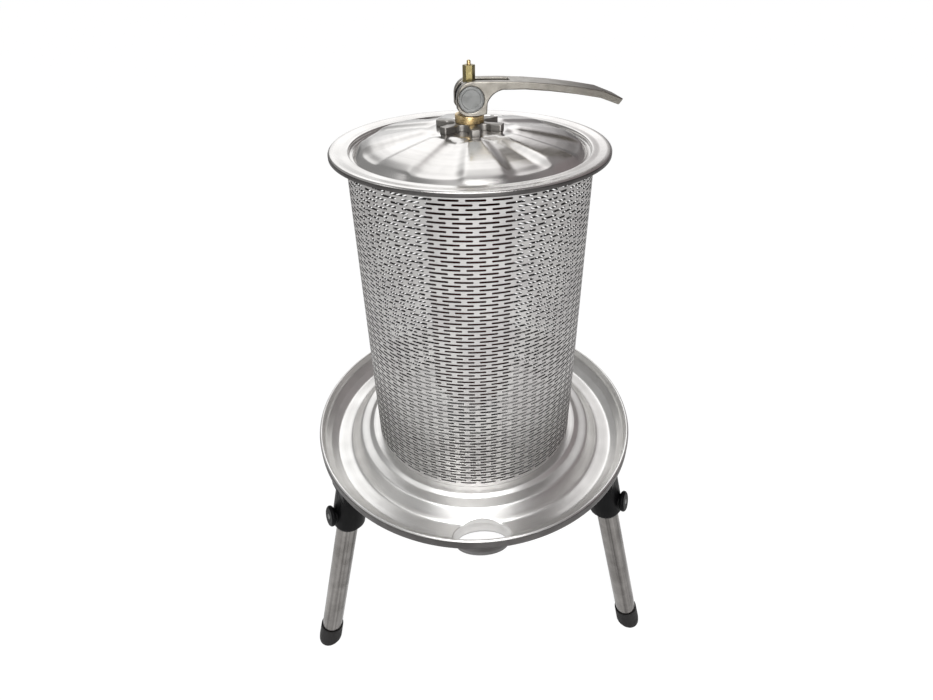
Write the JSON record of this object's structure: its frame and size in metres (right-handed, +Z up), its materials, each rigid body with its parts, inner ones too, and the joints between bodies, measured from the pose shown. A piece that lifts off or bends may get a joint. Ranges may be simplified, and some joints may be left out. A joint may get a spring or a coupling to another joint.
{
  "type": "hydraulic fruit press",
  "caption": "Water-powered fruit press: slotted basket with a domed lid and cam lever closure, on a round juice tray with a spout, carried by a clamped tripod.",
  "frame": {"origin": "press axis at floor level, under the middle of the tray", "axes": "+Z up along the press axis, -Y towards the tray's spout, +X to the user's right"},
  "size_m": [0.566, 0.5737, 0.9175],
  "materials": {
    "polished_stainless": "polished",
    "satin_stainless": "satin",
    "steel_tube": "bright",
    "zinc_steel": "zinc plated",
    "cast_aluminium": "satin cast",
    "bare_brass": "bright",
    "nickel_brass": "satin nickel",
    "black_plastic": "fine moulded",
    "black_rubber": "matt",
    "red_rubber": "matt",
    "coated_handle": "satin"
  },
  "bodies": {
    "stand": {"tray": "polished_stainless", "base_plate": "zinc_steel", "socket_bolts": "satin_stainless", "socket_nuts": "zinc_steel", "column_pipe": "steel_tube", "column_head": "satin_stainless", "column_gasket": "black_rubber", "column_nut": "zinc_steel", "membrane": "red_rubber", "lower_clamp": "satin_stainless", "upper_clamp": "satin_stainless", "vent_valve": "bare_brass", "water_tee": "bare_brass", "inlet_valve_body": "nickel_brass", "drain_valve_body": "nickel_brass", "hose_coupling": "bare_brass", "coupling_seal": "black_rubber", "leg_socket_left": "black_plastic", "leg_socket_right": "black_plastic", "leg_socket_rear": "black_plastic"},
    "basket": {"basket": "satin_stainless"},
    "lid": {"lid": "polished_stainless", "lid_grommet": "black_rubber"},
    "star": {"pressure_star": "cast_aluminium"},
    "ring": {"thrust_ring": "bare_brass"},
    "nut": {"barrel_nut": "bare_brass"},
    "lever": {"cam_lever": "cast_aluminium"},
    "vent_pin": {"vent_pin": "satin_stainless"},
    "inlet_tap": {"inlet_ball": "nickel_brass", "inlet_stem": "nickel_brass", "inlet_handle": "coated_handle", "inlet_handle_nut": "zinc_steel"},
    "drain_tap": {"drain_ball": "nickel_brass", "drain_stem": "nickel_brass", "drain_handle": "coated_handle", "drain_handle_nut": "zinc_steel"},
    "leg_left": {"leg_tube_left": "steel_tube", "rubber_foot_left": "black_rubber"},
    "screw_left": {"clamp_screw_left": "zinc_steel"},
    "knob_left": {"clamp_knob_left": "black_plastic"},
    "leg_right": {"leg_tube_right": "steel_tube", "rubber_foot_right": "black_rubber"},
    "screw_right": {"clamp_screw_right": "zinc_steel"},
    "knob_right": {"clamp_knob_right": "black_plastic"},
    "leg_rear": {"leg_tube_rear": "steel_tube", "rubber_foot_rear": "black_rubber"},
    "screw_rear": {"clamp_screw_rear": "zinc_steel"},
    "knob_rear": {"clamp_knob_rear": "black_plastic"}
  },
  "joints": [
    {"name": "basket_lift", "type": "slide", "parent": "stand", "child": "basket", "axis": [0, 0, 1], "range_m": [0, 0.56]},
    {"name": "lid_lift", "type": "slide", "parent": "basket", "child": "lid", "axis": [0, 0, 1], "range_m": [0, 0.1]},
    {"name": "star_lift", "type": "slide", "parent": "lid", "child": "star", "axis": [0, 0, 1], "range_m": [0, 0.09]},
    {"name": "closure_rise", "type": "slide", "parent": "star", "child": "ring", "axis": [0, 0, 1], "range_m": [0, 0.0311]},
    {"name": "nut_turn", "type": "hinge", "parent": "ring", "child": "nut", "pos_m": [0, 0, 0.876], "axis": [0, 0, 1], "range_deg": [0, 4464]},
    {"name": "lever_lift", "type": "hinge", "parent": "nut", "child": "lever", "pos_m": [0, 0, 0.876], "axis": [0.0872, -0.9962, 0], "range_deg": [0, 100]},
    {"name": "vent_press", "type": "slide", "parent": "stand", "child": "vent_pin", "axis": [0, 0, -1], "range_m": [0, 0.0015], "stiffness_N_per_m": 200, "springref_m": -0.001},
    {"name": "inlet_turn", "type": "hinge", "parent": "stand", "child": "inlet_tap", "pos_m": [0.07, 0, 0.296], "axis": [0, 0, 1], "range_deg": [0, 90]},
    {"name": "drain_turn", "type": "hinge", "parent": "stand", "child": "drain_tap", "pos_m": [-0.07, 0, 0.296], "axis": [0, 0, 1], "range_deg": [0, 90]},
    {"name": "leg_left_slide", "type": "slide", "parent": "stand", "child": "leg_left", "axis": [-0.2183, -0.126, -0.9677], "range_m": [0, 0.035]},
    {"name": "screw_left_out", "type": "slide", "parent": "stand", "child": "screw_left", "axis": [-0.8381, -0.4839, 0.2521], "range_m": [0, 0.0025]},
    {"name": "knob_left_turn", "type": "hinge", "parent": "screw_left", "child": "knob_left", "pos_m": [-0.20061, -0.11582, 0.2816], "axis": [-0.8381, -0.4839, 0.2521], "range_deg": [0, 720]},
    {"name": "leg_right_slide", "type": "slide", "parent": "stand", "child": "leg_right", "axis": [0.2183, -0.126, -0.9677], "range_m": [0, 0.035]},
    {"name": "screw_right_out", "type": "slide", "parent": "stand", "child": "screw_right", "axis": [0.8381, -0.4839, 0.2521], "range_m": [0, 0.0025]},
    {"name": "knob_right_turn", "type": "hinge", "parent": "screw_right", "child": "knob_right", "pos_m": [0.20061, -0.11582, 0.2816], "axis": [0.8381, -0.4839, 0.2521], "range_deg": [0, 720]},
    {"name": "leg_rear_slide", "type": "slide", "parent": "stand", "child": "leg_rear", "axis": [0, 0.2521, -0.9677], "range_m": [0, 0.035]},
    {"name": "screw_rear_out", "type": "slide", "parent": "stand", "child": "screw_rear", "axis": [0, 0.9677, 0.2521], "range_m": [0, 0.0025]},
    {"name": "knob_rear_turn", "type": "hinge", "parent": "screw_rear", "child": "knob_rear", "pos_m": [0, 0.23165, 0.2816], "axis": [0, 0.9677, 0.2521], "range_deg": [0, 720]}
  ],
  "couplings": [
    {"joint": "closure_rise", "follows": "nut_turn", "m_per_rad": 0.00039789},
    {"joint": "screw_left_out", "follows": "knob_left_turn", "m_per_rad": 0.00019894},
    {"joint": "screw_right_out", "follows": "knob_right_turn", "m_per_rad": 0.00019894},
    {"joint": "screw_rear_out", "follows": "knob_rear_turn", "m_per_rad": 0.00019894}
  ]
}
